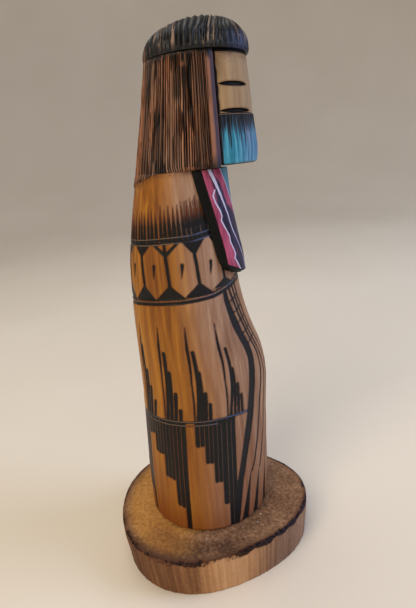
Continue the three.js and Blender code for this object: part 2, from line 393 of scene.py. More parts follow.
# Thin lines inside the border; each leads down to the tip of a wedge.
FRONT_LINES = [
    [(40.5, 138.5), (36.4, 131), (31, 117.5), (27.6, 104), (28.6, 94), (31.7, 84), (34.5, 73.6), (38.2, 61.3),
     (43, 51), (47, 46)],
    [(34.5, 139.5), (30.8, 130), (26, 117), (23, 104), (21.5, 93), (23, 80), (26, 65), (31, 52), (35, 45)],
    [(28.5, 140.3), (25.5, 130), (20.5, 117), (16.5, 104), (14, 93), (14.5, 80), (17, 62), (22, 45)],
]
FRONT_LINE_HALVES = [0.5, 0.44, 0.38]
CROSS_TICKS = [131.5, 126, 121, 115.5, 110.5]
WEDGES = [  # tip angle, tip height, then the angles of the foot's two ends
    (48.5, 46.5, 53.0, 61.0),
    (36.1, 45.5, 40.0, 47.1),
    (23.1, 45.0, 20.5, 29.5),
]

# One set of bars on the skirt: [angle of the top, height of the top, angle at the ring], each
# angle measured from the set's thin line at the ring. Then half the width of its bars.
SKIRT_BARS = [
    ([(-7.6, 112.2, -2.8), (-8.0, 102.5, -6.7), (-10.5, 94.9, -10.3), (-13.4, 89.2, -14.4)], 0.66),
    ([(-6.2, 112.8, -2.9), (-7.0, 103.2, -6.1), (-9.9, 93.2, -9.6), (-13.3, 87.8, -13.4)], 0.78),
    ([(-6.4, 112.2, -2.8), (-8.4, 103.1, -7.0), (-12.2, 93.0, -11.0), (-15.8, 85.1, -15.6)], 0.87),
    ([(-4.6, 113.6, -2.8), (-7.8, 101.6, -6.5), (-11.6, 93.7, -10.5), (-16.8, 87.3, -15.0)], 0.87),
]
SKIRT_FIRST = 70.6
SKIRT_SETS = 9

# One stepped group below the knee ring: [first and last angle of a step, its lowest height], with
# angles measured from the group's straight edge.
STAIRS = [(34.8, 44.5, 68.3), (23.4, 34.8, 59.3), (12.4, 23.4, 47.4), (4.5, 12.4, 33), (-0.3, 4.5, 20)]
NARROW_STAIRS = [(27.2, 35.3, 65.7), (20, 27.2, 57.2), (12.7, 20, 46), (7.6, 12.7, 33.5), (-0.3, 7.6, 20)]
STAIR_FIRST = 64.8
STAIR_GROUPS = 5
STAIR_BAR = 3.9                   # degrees that one bar of a step takes up


def draw_rings(chart):
    for profile, lift, half in ((UPPER_RING, 0.75, 0.42), (UPPER_RING, -0.7, 0.5),
                                (LOWER_RING, 0.0, 0.35), (LOWER_RING, -1.75, 0.72)):
        chart.stroke(ring_points(profile, lift), half)
    chart.stroke(ring_points(KNEE_RING, 0, 50, 310), 0.5)
    chart.stroke(ring_points(KNEE_RING, -1.9, 80, 280), 0.26)


def draw_band(chart):
    """Six-cornered cells between the two upper rings, each with a drop in its middle."""
    for k in range(CELLS):
        turn = OUTLINED_TURN + 360 / CELLS * (k - OUTLINED_CELL)
        top, bottom = height_on(UPPER_RING, turn), height_on(LOWER_RING, turn)
        chart.stroke([(turn, 155), (turn - 2.2, 142)], 0.7)
        if k == OUTLINED_CELL:
            for side in (-13.5, 13.5):
                chart.stroke([(turn, 155.5), (turn + side, top - 1)], [0.75, 0.6])
            chart.stroke([(turn, 155.5), (turn + 1, top - 1)], [0.7, 0.5])
        else:
            chart.fill([(turn - 13.8, top), (turn, 154.6), (turn + 13.8, top)])
        chart.fill([(turn + 13.5, bottom), (turn - 2.2, 142.6), (turn - 17.2, bottom)])
        chart.stroke([(turn + 13.6, 151), (turn + 13.9, 149.4), (turn + 15, 145.4)], [0.75, 0.55, 0.1])


def draw_spikes(chart, rng):
    """Tapered burns that stand on the upper ring."""
    for k in range(SPIKES):
        turn = k * 360 / SPIKES + rng.uniform(-0.6, 0.6)
        away = min(turn, 360 - turn)
        foot = height_on(UPPER_RING, turn)
        lean = 2.4 + rng.uniform(-0.7, 0.7)
        tip = foot + rng.uniform(12, 15.5) + 2.5 * step(96, 74, away)
        half = rng.uniform(0.86, 1.02)
        points = [(turn, foot), (turn + 0.5 * lean, foot + 6.5), (turn + lean, tip)]
        chart.stroke(points, [half, 0.76 * half, 0.05])
        if away < 88:
            for shift in (-1.7, 1.8):
                hair_tip = foot + rng.uniform(13, 18)
                chart.stroke([(turn + shift, foot + 5), (turn + shift + 2.2, hair_tip)], [0.42, 0.05])


def draw_skirt(chart, rng):
    for k in range(SKIRT_SETS):
        foot = SKIRT_FIRST + k * SKIRT_TURN + rng.uniform(-0.5, 0.5)
        ring = height_on(KNEE_RING, foot)
        line = [(foot - 4.5, 123.5), (foot - 2, 113), (foot + 0.7, 97), (foot, ring)]
        chart.stroke(line, [0.12, 0.62, 0.3, 0.32])
        bars, half = SKIRT_BARS[k % len(SKIRT_BARS)]
        for top, height, end in bars:
            chart.stroke([(foot + top, height - 1), (foot + end, ring)], half)


def stair_groups():
    """The straight edge of each stepped group, and its steps."""
    for k in range(STAIR_GROUPS):
        if k:
            yield STAIR_FIRST + k * STAIR_TURN - 1.2, STAIRS
        else:
            yield STAIR_FIRST, NARROW_STAIRS


def bars_between(first, last):
    return max(1, round((last - first) / STAIR_BAR))


def draw_stairs(chart, rng):
    for edge, steps in stair_groups():
        for first, last, lowest in steps:
            bars = bars_between(first, last)
            pitch = (last - first) / bars
            for bar in range(bars):
                turn = edge + first + (bar + 0.5) * pitch
                half = 0.48 * np.radians(pitch) * 31
                low = lowest + half + rng.uniform(-0.5, 0.5)
                chart.stroke([(turn, height_on(KNEE_RING, turn) - 1), (turn, low)], half)


def stair_seams(angle, height):
    """A count of bars round the stepped groups, whole between two bars, and 1 inside the groups."""
    edges, counts, total = [], [], 0
    for edge, steps in stair_groups():
        for first, last, _ in reversed(steps):
            edges += [edge + first, edge + last]
            counts += [total, total + bars_between(first, last)]
            total = counts[-1]
    turn = angle % 360
    below_ring = height < height_on(KNEE_RING, angle) - 2.4
    inside = (turn > edges[0] + 0.5) & (turn < edges[-1] - 0.5) & below_ring
    return np.interp(turn, edges, counts), inside


def angle_at(height, line):
    """Angle of a line at a height; its points run downwards."""
    return by_table(height, [(z, angle) for angle, z in reversed(line)])


def draw_front(chart):
    for flip in (list, mirrored):
        for side in (-1, 1):      # burned twice, side by side
            shifted = [(a + 0.9 * side * half, z) for (a, z), half in zip(BORDER, BORDER_HALVES)]
            chart.stroke(flip(shifted), [0.56 * half for half in BORDER_HALVES])
        for line, half in zip(FRONT_LINES, FRONT_LINE_HALVES):
            chart.stroke(flip(line), [1.3 * half if z > 108 else half for _, z in line])
        for height in CROSS_TICKS:
            outer, inner = (angle_at(height, line[:5]) for line in (BORDER, FRONT_LINES[2]))
            chart.stroke(flip([(outer, height - 1.2), (inner, height + 1.4)]), 0.3)
        for tip, height, inner, outer in WEDGES:
            foot = ((inner + outer) / 2, 20)
            chart.stroke(flip([(tip, height), foot]), [0.1, 0.5 * np.radians(outer - inner) * 30])


# Painted highlights along the rings' grooves, drawn as pale lines: the ring, how far above it, and the angle
# from which it starts.
GLINT_OUTER = ((UPPER_RING, 1.3, -1), (LOWER_RING, -0.85, -1), (KNEE_RING, 0, 50))
GLINT_INNER = ((UPPER_RING, -1.15, -1), (KNEE_RING, -1.9, 80))


def glint_lines(angle, height, lines):
    """Height above the nearest of some lines, and a share that is 1 where one is near."""
    above = np.full(angle.shape, 9.0)
    for ring, offset, start in lines:
        here = np.where(abs(angle) > start, height - height_on(ring, angle) - offset, 9.0)
        above = np.where(abs(here) < abs(above), here, above)
    return above, step(2.0, 1.0, abs(above))


def draw_robe(chart):
    rng = np.random.default_rng(5)
    draw_rings(chart)
    draw_band(chart)
    draw_skirt(chart, rng)
    draw_stairs(chart, rng)
    draw_front(chart)
    draw_spikes(chart, rng)
    return chart.distance


# ---- materials ----
def srgb(red, green, blue):
    """A colour as the eye names it, 0 to 255, as the linear one the shader needs."""
    channels = np.array([red, green, blue]) / 255
    linear = np.where(channels <= 0.04045, channels / 12.92, ((channels + 0.055) / 1.055) ** 2.4)
    return (*(float(c) for c in linear), 1.0)


class Signal:
    """A value or a colour inside a material. Arithmetic on it adds nodes."""

    def __init__(self, look, socket):
        self.look = look
        self.socket = socket

    def math(self, operation, other=0.0):
        return self.look.node("ShaderNodeMath", {0: self, 1: other}, operation=operation)

    def __add__(self, other):
        return self.math("ADD", other)

    def __sub__(self, other):
        return self.math("SUBTRACT", other)

    def __mul__(self, other):
        return self.math("MULTIPLY", other)

    def __abs__(self):
        return self.math("ABSOLUTE")

    def span(self, low, high, new_low=0.0, new_high=1.0):
        """Turns low into new_low and high into new_high, smooth between them. Low may be the larger."""
        inputs = {"Value": self, "From Min": low, "From Max": high, "To Min": new_low, "To Max": new_high}
        return self.look.node("ShaderNodeMapRange", inputs, interpolation_type="SMOOTHSTEP")

    def ramp(self, *stops):
        """A colour by value, from stops of (value, colour)."""
        made = self.look.node("ShaderNodeValToRGB", {"Fac": self})
        elements = made.socket.node.color_ramp.elements
        while len(elements) < len(stops):
            elements.new(0.5)
        for element, (position, colour) in zip(elements, stops):
            element.position = position
            element.color = srgb(*colour)
        return made


class Look:
    """One material. Colours are given 0 to 255, and look["name"] reads an attribute of the mesh."""

    def __init__(self, name, roughness=0.5, specular=0.4):
        self.material = bpy.data.materials.new(name)
        self.material.use_nodes = True
        self.tree = self.material.node_tree
        self.surface = self.tree.nodes["Principled BSDF"]
        self.connect({"Roughness": roughness, "Specular IOR Level": specular}, self.surface)
        self.place = self.node("ShaderNodeTexCoord", output="Object")

    def connect(self, inputs, node):
        """Gives a node's inputs their values, or links signals to them."""
        for name, value in inputs.items():
            if isinstance(value, Signal):
                self.tree.links.new(value.socket, node.inputs[name])
            else:
                node.inputs[name].default_value = value

    def node(self, kind, inputs=None, output=0, **settings):
        """Adds a node and returns one of its outputs as a signal."""
        made = self.tree.nodes.new(kind)
        for setting, value in settings.items():
            setattr(made, setting, value)
        self.connect(inputs or {}, made)
        return Signal(self, made.outputs[output])

    def __getitem__(self, name):
        return self.node("ShaderNodeAttribute", output="Fac", attribute_name=name)

    def noise(self, scale, upright=1, detail=3, seed=0, roughness=0.55, place=None):
        """Noise from 0 to 1, in waves per metre; an upright value under 1 draws it out vertically."""
        mapping = {
            "Vector": place or self.place,
            "Scale": (1, 1, upright),
            "Location": (seed * 0.37, seed * 0.11, seed * 0.23),
        }
        spread = self.node("ShaderNodeMapping", mapping)
        inputs = {"Vector": spread, "Scale": scale, "Detail": detail, "Roughness": roughness}
        return self.node("ShaderNodeTexNoise", inputs)

    def mix(self, factor, below, above):
        """Lays one colour over another by a factor from 0 to 1."""
        below, above = (srgb(*colour) if isinstance(colour, tuple) else colour for colour in (below, above))
        return self.node("ShaderNodeMix", {0: factor, 6: below, 7: above}, 2, data_type="RGBA")

    def coat(self, base, *coats):
        """Lays coats of (factor, colour) over a base, one after another."""
        for factor, colour in coats:
            base = self.mix(factor, base, colour)
        return base

    def finish(self, colour, height, distance, strength, roughness=None):
        """Gives the surface its colour, its fine grain, and a roughness if that varies."""
        bump = self.node("ShaderNodeBump", {"Height": height, "Distance": distance, "Strength": strength})
        self.connect({"Base Color": colour, "Normal": bump}, self.surface)
        if roughness is not None:
            self.connect({"Roughness": roughness}, self.surface)
        return self.material


BURN_BLACK = (12, 11, 11)
BURN_BROWN = (84, 42, 20)


def uneven(value, *parts):
    """A value shifted by some noises, each given with its share and counted from its middle."""
    for noise, share in parts:
        value = value + (noise - 0.5) * share
    return value


def grain(look, pale, middle, dark, seed=0):
    """Fine upright wood fibres over slower changes of colour."""
    slow = look.noise(38, 0.16, 2, seed)
    fibre = look.noise(420, 0.035, 4, seed + 1)
    return (slow * 0.42 + fibre * 0.58).ramp((0.34, dark), (0.5, middle), (0.64, pale)), fibre


def charred(look, wobble, reach):
    """The colour of the robe's burned lines, with seams between bars and painted highlights along the rings.
    The painted window light gives the black a painted bluish sheen and greys the seams.
    """
    painted_window_light = look["painted_window_light"]
    beside = abs(look["seam"].math("FRACT") - 0.5) + wobble * 0.08
    seam = beside.span(0.415, 0.49) * look["seam_inside"] * reach.span(0.3, 0.55, 0.45, 1.0)
    patchy = look.noise(160, detail=2, seed=55).span(0.26, 0.5, 0.1, 0.85)
    # painted highlight off the rings' groove edges, bluish where the painted window light falls
    glint = look.mix(painted_window_light, (122, 102, 86), (74, 88, 130))
    # painted reflection: a bluish sheen on the black towards the front
    coats = [(painted_window_light * 0.45, (24, 29, 40)), (look["fade"], (92, 48, 24))]
    # the seams between bars are unburned wood, with a painted grey sheen where the painted window light falls
    coats += [(seam, look.mix(painted_window_light, (112, 60, 32), (84, 74, 66)))]
    for line in ("outer", "inner"):
        away = abs(look[line + "_mm"] + wobble * 0.2) + painted_window_light * -0.12
        coats += [(away.span(0.26, 0.08) * look[line + "_near"] * patchy, glint)]
    return look.coat(look.mix(look.noise(900, detail=2, seed=3), BURN_BLACK, (26, 23, 21)), *coats)


def robe_look():
    look = Look("oiled golden wood with burned lines", specular=0.22)
    painted_window_light = look["painted_window_light"]
    golden, fibre = grain(look, (182, 127, 45), (155, 100, 35), (116, 67, 27))
    # painted window light: a cooler, pinkish-grey copy of the wood for the front, where the window light
    # falls
    window_lit_wood, _ = grain(look, (178, 148, 128), (154, 122, 104), (124, 90, 74), seed=51)
    reach = look.noise(22, 0.5, 3, 53)
    wobble = look.noise(1100, 0.5, 2, 7) - 0.5
    burn = look["burn_mm"] + wobble * 0.4
    scorch = look["scorch"] * fibre.span(0.3, 0.65, 0.35, 1.0)
    black = burn.span(0.08, -0.12)
    colour = look.coat(
        golden,
        # painted window light laid over the front of the robe
        (painted_window_light * 0.92, window_lit_wood),
        (look["foot"] * reach.span(0.3, 0.62, 0.45, 0.95), (126, 66, 28)),
        (burn.span(0.55, 0.0, 0.0, 0.75), look.mix(painted_window_light, BURN_BROWN, (88, 62, 52))),
        (scorch, look.mix(painted_window_light, (74, 46, 32), (50, 44, 50))),
        # painted shade below the hair's edge
        (look["shade_and_darkening"], (96, 56, 34)),
        (black, charred(look, wobble, reach)),
    )
    return look.finish(colour, fibre, 0.00014, 0.55, black.span(0, 1, 0.5, 0.45))


def hair_look():
    look = Look("burned and combed hair", specular=0.25)
    fibre = look.noise(800, 0.05, 4, 2)
    patch = look.noise(70, 0.3, 3, 4)
    crest = uneven(look["ridge"], (fibre, 0.8), (patch, 0.5), (look["tone"], 0.55))
    brown = crest.ramp((0.46, (17, 14, 13)), (0.68, (58, 36, 27)), (0.82, (126, 77, 50)),
                       (0.98, (168, 114, 80)))
    grey = crest.ramp((0.46, (16, 14, 15)), (0.72, (60, 45, 40)), (0.88, (112, 84, 68)),
                      (0.98, (150, 118, 98)))
    rail = (fibre * 0.6 + patch * 0.4).ramp((0.36, (84, 58, 50)), (0.6, (146, 104, 86)))
    colour = look.coat(
        brown,
        (look.noise(34, 0.4, 2, 57).span(0.36, 0.56), grey),
        (look["rail"], rail),
        # painted shade under the cap, and darker burned bands of strands
        (look["dark"] * fibre.span(0.35, 0.7, 1.0, 0.8), (25, 24, 23)),
        # painted reflection: a bluish glint near the hair's front edge
        (look["blue"], (40, 50, 84)),
        (look["curl"] * fibre.span(0.35, 0.6), (150, 100, 68)),
    )
    return look.finish(colour, fibre, 0.00015, 0.5, crest.span(0.2, 1.0, 0.45, 0.6))


def cap_look():
    look = Look("blackened hair cap", specular=0.3)
    fibre = look.noise(600, 0.3, 4, 6)
    patch = look.noise(80, 1, 3, 8)
    crest = uneven(look["ridge"], (patch, 0.75), (fibre, 0.55), (look["tone"], 0.8))
    thin = crest.span(0.2, 1.3).math("POWER", 2.0)
    colour = look.coat(
        thin.ramp((0.34, (15, 16, 17)), (0.54, (37, 34, 34)), (0.68, (92, 76, 67)), (0.88, (134, 112, 98))),
        (look["rim"] * 0.9, (20, 21, 22)),
        # painted reflection: a dark blue sheen low on the cap's front
        (look["blue"] * patch.span(0.3, 0.6, 0.45, 1.0), (34, 46, 84)),
        (look["back"], crest.ramp((0.5, (20, 17, 16)), (0.8, (58, 40, 31)), (0.98, (120, 82, 60)))),
    )
    return look.finish(colour, fibre, 0.0001, 0.5, crest.span(0.4, 1.2, 0.42, 0.55))


def face_look():
    look = Look("bare pale wood of the face", specular=0.12)
    wood, fibre = grain(look, (180, 150, 106), (163, 133, 93), (142, 110, 74), seed=9)
    # painted window light: a cooler, greyer copy of the wood
    window_lit_wood, _ = grain(look, (166, 149, 134), (151, 133, 119), (132, 112, 98), seed=59)
    burn = look["burn_mm"]
    colour = look.coat(
        wood,
        (look["painted_window_light"], window_lit_wood),
        # painted shade under the cap and beside the hair
        (look["shade_and_darkening"] * look.noise(300, 0.3, 4, 60).span(0.3, 0.7), (98, 68, 44)),
        (burn.span(0.8, 0.0, 0.0, 0.5), (110, 72, 42)),
        (burn.span(0.08, -0.1), BURN_BLACK),
    )
    return look.finish(colour, fibre, 0.00008, 0.4)


def beard_look():
    look = Look("turquoise paint brushed downwards", specular=0.22)
    brush = look.noise(560, 0.04, 4, 12)
    value = brush + look["ridge"] * 0.2
    burn = uneven(look["burn_mm"], (brush, 0.7))
    colour = look.coat(
        # painted window light: a steel-blue copy of the turquoise for the front
        value.ramp((0.42, (44, 92, 128)), (0.62, (78, 134, 172)), (0.85, (122, 168, 198))),
        # the sides are greener, away from the painted window light
        (look["green"], value.ramp((0.42, (34, 100, 126)), (0.62, (46, 136, 166)), (0.85, (86, 162, 190)))),
        # painted window light: pale lilac streaks low on the front
        (look["pale"] * brush.span(0.35, 0.6), (126, 130, 160)),
        (look["shade"] * brush.span(0.62, 0.42, 0.55, 1.0), (22, 25, 38)),
        (burn.span(0.4, 0.0, 0.0, 0.5), (46, 50, 78)),
        (burn.span(0.12, -0.15), (17, 17, 22)),
        (look["lip"], (142, 120, 112)),
    )
    return look.finish(colour, brush, 0.00012, 0.5)


def chest_look():
    look = Look("turquoise paint on the chest", specular=0.3)
    brush = look.noise(300, 0.15, 4, 15)
    return look.finish(brush.ramp((0.35, (44, 104, 140)), (0.65, (84, 148, 178))), brush, 0.0001, 0.4)


def lapel_look():
    look = Look("magenta and navy paint with white lines", specular=0.14)
    brush = look.noise(420, 0.2, 4, 21)
    wobble = (look.noise(600, detail=2, seed=5) - 0.5) * 0.35
    navy = brush.ramp((0.35, (26, 24, 44)), (0.7, (62, 58, 92)))
    magenta = brush.ramp((0.35, (140, 54, 84)), (0.7, (186, 90, 122)))
    mottle = uneven(look["mottle"], (look.noise(230, 0.25, 3, 23), 2.4))
    white = [((look[line] + wobble).span(0.15, -0.15, 0.0, 0.92), (204, 200, 230))
             for line in ("wave_line_mm", "bar_mm", "rim_mm")]
    colour = look.coat(
        navy,
        (mottle.span(0.3, 0.7), magenta),
        ((look["wave_mm"] + wobble).span(-0.1, 0.1), magenta),
        *white,
        (look["bevel_mm"].span(0.1, -0.1), (11, 11, 11)),
    )
    return look.finish(colour, brush, 0.00012, 0.5)


def slab_look():
    look = Look("sawn log slice with a charred rim", roughness=0.8, specular=0.15)
    painted_window_light, bark = look["painted_window_light"], look["bark"]
    rise = look.node("ShaderNodeSeparateXYZ", {"Vector": look.place}, "Z")
    wall = look.node("ShaderNodeCombineXYZ", {"X": look["around_x"], "Y": look["around_y"], "Z": rise})
    streak = look.noise(560, 0.03, 5, 31, place=wall)
    slow = look.noise(30, 0.3, 3, 33, place=wall)
    fuzz = look.noise(560, 1, 5, 35, roughness=0.7)
    upright = uneven(streak * 0.4 + slow * 0.42 + fuzz * 0.18, (look["tone"], 0.34))
    side = upright.ramp((0.24, (74, 46, 32)), (0.42, (122, 84, 57)), (0.6, (176, 132, 92)),
                        (0.8, (206, 166, 126)))
    # painted window light: a cooler, greyer copy of the side
    grey = upright.ramp((0.24, (66, 50, 44)), (0.42, (110, 88, 78)), (0.62, (146, 122, 110)),
                        (0.8, (172, 150, 136)))
    # darker near the rim, most on the camera's side
    mottle = fuzz * 0.6 + look.noise(46, 1, 3, 37) * 0.4 + look["shade_and_darkening"] * -0.12
    top = look.coat(
        mottle.ramp((0.34, (82, 58, 44)), (0.5, (140, 105, 78)), (0.66, (184, 148, 116))),
        # painted light: a warmer golden top where the warm key light falls
        (look["painted_warm_light"], mottle.ramp((0.3, (136, 92, 50)), (0.5, (180, 130, 70)), (0.68, (208, 158, 96)))),
        (look.noise(520, detail=1, seed=61).span(0.745, 0.765) * look["speck"], (216, 206, 192)),
    )
    edge = bark + (fuzz - 0.5) * bark.span(0.0, 0.12, 0.0, 2.0)
    grit = look.noise(900, detail=3, seed=65).span(0.42, 0.62)
    colour = look.coat(
        side,
        # painted window light laid over the side
        (painted_window_light * 0.7, grey),
        (look["top"], top),
        (edge.span(0.05, 0.5, 0.0, 0.8), (92, 54, 36)),
        # the charred rim is greyer and bluer where the painted window light falls
        (edge.span(0.35, 0.6), look.mix(grit, (24, 19, 19), look.mix(painted_window_light, (66, 42, 32), (48, 42, 58)))),
    )
    return look.finish(colour, fuzz + streak, 0.0004, 0.7)


def dowel_look():
    look = Look("plain dowel wood", roughness=0.7)
    wood, fibre = grain(look, (214, 182, 132), (196, 160, 108), (168, 130, 82), seed=41)
    return look.finish(wood, fibre, 0.00008, 0.4)


def screw_look():
    look = Look("zinc-plated steel", roughness=0.35)
    look.connect({"Metallic": 1.0}, look.surface)
    scratch = look.noise(900, 0.3, 3, 43)
    colour = scratch.ramp((0.3, (150, 152, 156)), (0.7, (196, 198, 200)))
    return look.finish(colour, scratch, 0.00003, 0.3, scratch.span(0.3, 0.7, 0.3, 0.5))


# ---- the robe ----
HAIR_EDGE = [(112, 189.5), (119, 189.1), (126, 188.6), (132, 187.6), (141, 186.3), (146, 185.8), (180, 183)]


def hair_edge(angle):
    """Height at which the hair ends; it reaches down over the shoulder at the back."""
    return by_table(abs(angle), HAIR_EDGE)


def robe_paint(angle, height, burn):
    """What the robe's material reads on the robe's outside, and elsewhere."""
    away = abs(angle)
    lift = height - ROBE[0, 0]
    above_ring = height - height_on(UPPER_RING, angle)
    shoulder = step(160, 175, height)
    # painted window light: the share of the cooler, greyer copy of the wood, most towards the front and over
    # the shoulders
    painted_window_light = step(106 + 10 * shoulder, 66 + 14 * shoulder, away) * (1 - 0.35 * step(48, 18, away))
    scorch = (0.35 + 0.6 * step(98, 78, away)) * step(0, 4, above_ring) * step(14.5, 7, above_ring)
    outer, outer_near = glint_lines(angle, height, GLINT_OUTER)
    inner, inner_near = glint_lines(angle, height, GLINT_INNER)
    seam, seam_inside = stair_seams(angle, height)
    return {
        "burn_mm": (burn, FAR),
        "scorch": scorch * step(1.5, 0.0, burn),
        "fade": step(6.5, 12, above_ring) * step(30, 20, above_ring),
        "seam": (seam, 0.5),
        "seam_inside": seam_inside,
        "outer_mm": (outer, 9),
        "outer_near": outer_near,
        "inner_mm": (inner, 9),
        "inner_near": inner_near,
        "painted_window_light": painted_window_light,
        # painted shade: darker just below the hair's edge, where the hair overhangs the robe
        "shade_and_darkening": (0.55 * step(3.5, 0, hair_edge(angle) - height + rough(angle / 3, height, 75)), 1),
        "foot": 0.55 * step(72, 12, lift) + 0.45 * step(20, 0, lift),
    }


def make_robe():
    angles = full_turn(ROBE_COLUMNS)
    bottom, top = low_and_high("robe_body")
    heights = np.concatenate([np.linspace(top, 130, 99), np.linspace(129.25, bottom, 146)])
    radii = (smooth_rows(ROBE, heights, 2) + smooth_rows(ROBE, heights, 3)) / 2
    burn = draw_robe(Chart(angles, heights, radii))
    angle, height = np.meshgrid(angles, heights)
    turn64 = angle / 360 * 64
    handmade = 0.12 * rough(turn64 / 4, height / 14, 73) + 0.05 * rough(turn64, height / 5, 74)
    under_hair = step(1.2, 3.0, height - hair_edge(angle))
    proud = handmade - 0.1 - GROOVE * step(0.2, -0.4, burn) - 1.1 * under_hair
    rounded = 0.8 * (1 - np.sqrt(1 - step(1.6, 0, height - bottom) ** 2 * 0.99))
    outside = on_ellipse(ROBE, angle, height, proud - rounded)

    lead = [circle(angles, SOCKET, DOWEL_LOW - GAP)]
    lead += [circle(angles, SOCKET, z) for z in np.linspace(DOWEL_LOW, top, 4)]
    lead += inward_rows(lead[-1], outside[0], 6)
    foot_hole = circle(angles, SCREW_BORE, bottom)
    tail = inward_rows(outside[-1], foot_hole, 6) + [foot_hole]
    tail += [circle(angles, SCREW_BORE, low_and_high("base_screw")[1] + 0.6)]
    points = np.array(lead + list(outside) + tail)
    skin = turned_skin(points, robe_paint(angle, height, burn), len(lead))
    make_piece("robe_carved", "robe_body", robe_look(), skin)


# ---- collar ----
WHITE_BAR = [(54, 188.9), (46.3, 183.1), (39, 176.8), (31.2, 169.4), (26.4, 161.9), (20.5, 156.3),
             (15.5, 150), (11, 144)]
WHITE_BAR_HALVES = [1.0, 0.85, 0.6, 0.45, 0.4, 0.35, 0.3, 0.25]
WAVE = [(57.3, 189.2), (51.3, 183.7), (48.8, 180.3), (51.5, 178.3), (49.6, 175.7), (43.7, 171.6), (42, 169.3),
        (43.8, 167.7), (40.2, 164.4), (35.6, 160.4), (36.2, 157.8), (33.5, 153.9), (32.4, 151.9),
        (34.7, 150.3), (26.9, 144.5), (23, 141)]


def lapel_grid(across, up):
    """Angle, height, thickness and face edge of a lapel from shares across and up."""
    bottom, top = low_and_high("lapel_right")
    corner = LAPEL_CORNER * (1 - np.sqrt(1 - across ** 2))
    height = bottom + corner + (top - bottom - corner) * up
    inner, edge, foot = (smooth_rows(LAPEL_EDGES, height, column) for column in (1, 2, 3))
    share = np.clip(across / LAPEL_FACE_SHARE, 0, 1)
    bevel = np.clip((across - LAPEL_FACE_SHARE) / (1 - LAPEL_FACE_SHARE), 0, 1)
    angle = inner + (edge - inner) * share + (foot - edge) * bevel
    full = smooth_rows(LAPEL_THICKNESS, height, 1)
    return angle, height, LAPEL_RIM + (full - LAPEL_RIM) * (1 - bevel), edge


def line_distance(angle, height, points, halves):
    """Distance from every point of a lapel or the beard to a line of changing width, in millimetres."""
    near = np.full(angle.shape, 9.0)
    halves = np.broadcast_to(halves, len(points))
    for k, (start, end) in enumerate(zip(points, points[1:])):
        x, y = (angle - start[0]) * LAPEL_DEGREE, height - start[1]
        run, rise = (end[0] - start[0]) * LAPEL_DEGREE, end[1] - start[1]
        near = np.minimum(near, to_segment(x, y, run, rise, halves[k], halves[k + 1]))
    return near


def make_lapels():
    look = lapel_look()
    across, up = np.meshgrid(np.linspace(0, 1, 130), np.linspace(0, 1, 190))
    angle, height, thickness, edge = lapel_grid(across, up)
    inner = smooth_rows(LAPEL_EDGES, height, 1)
    bar = line_distance(angle, height, WHITE_BAR, WHITE_BAR_HALVES)
    wave_line = line_distance(angle, height, WAVE[2:], 0.42)
    beside_bar = (angle - angle_at(height, WHITE_BAR)) * LAPEL_DEGREE
    above_edge = height - height[:1] - 2.4 * step(0.2, 0.6, across)
    attributes = {
        "bevel_mm": np.minimum((edge - angle) * LAPEL_DEGREE, above_edge),
        "wave_mm": (angle - angle_at(height, WAVE)) * LAPEL_DEGREE,
        "wave_line_mm": wave_line,
        "bar_mm": bar,
        "rim_mm": (angle - inner) * LAPEL_DEGREE - 0.55 + 9 * step(166, 160, height),
        "mottle": step(0, -6, beside_bar) * step(166, 176, height),
    }
    relief = 0.18 * step(0.3, -0.3, np.minimum(wave_line, bar)) + 0.05 * rough(angle / 3, height / 2, 81)
    worn = 0.25 * step(0.9, 0, abs(edge - angle) * LAPEL_DEGREE)
    proud = thickness - 0.18 + relief - worn
    proud = LAPEL_RIM + (proud - LAPEL_RIM) * np.maximum(step(0, 0.02, up), 0.4)
    for side, node in ((1, "lapel_right"), (-1, "lapel_left")):
        front = on_ellipse(ROBE, side * angle, height, proud)
        back = on_ellipse(ROBE, side * angle, height, GAP)
        make_piece(node + "_painted", node, look, plate_skin(front, back, attributes))


def make_chest():
    bottom, top = low_and_high("chest_panel")
    across, up = np.meshgrid(np.linspace(-1, 1, 90), np.linspace(0, 1, 80))
    height = bottom + (top - bottom) * up
    angle = across * (smooth_rows(LAPEL_EDGES, height, 1) - 1.1)
    thickness = smooth_rows(LAPEL_THICKNESS, height, 1) - 0.6
    dents = 0.06 * rough(angle / 4, height / 3, 83)
    front = on_ellipse(ROBE, angle, height, thickness - 0.08 + dents)
    back = on_ellipse(ROBE, angle, height, GAP)
    make_piece("chest_painted", "chest_panel", chest_look(), plate_skin(front, back, {}))


# ---- hair ----
HAIR_PLANE = -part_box("hair_fall")[0].y / MM    # the hair's flat front, forward distance
HAIR = sections_of("hair_fall", AXIS_CLEARANCE, HAIR_PLANE)


def hair_limit(heights):
    """Angle at which the hair's sides meet its flat front."""
    middle, depth = (smooth_rows(HAIR, heights, column) for column in (1, 2))
    return np.degrees(np.arccos((HAIR_PLANE - middle) / depth))


def hair_strands(share, height, side):
    """Strand height and tone from the share of the way from the back to the front; side is -1 or 1."""
    wander = 0.003 * rough(share * 14, height / 9 + 20 * side, 61)
    splits = [rough(share * 40, height / 11 + 5 * seed, 67) for seed in (63, 64)]
    return strands_of_sides(side > 0, np.clip(share + wander, 0, 1), HAIR_STRANDS, 63, splits)


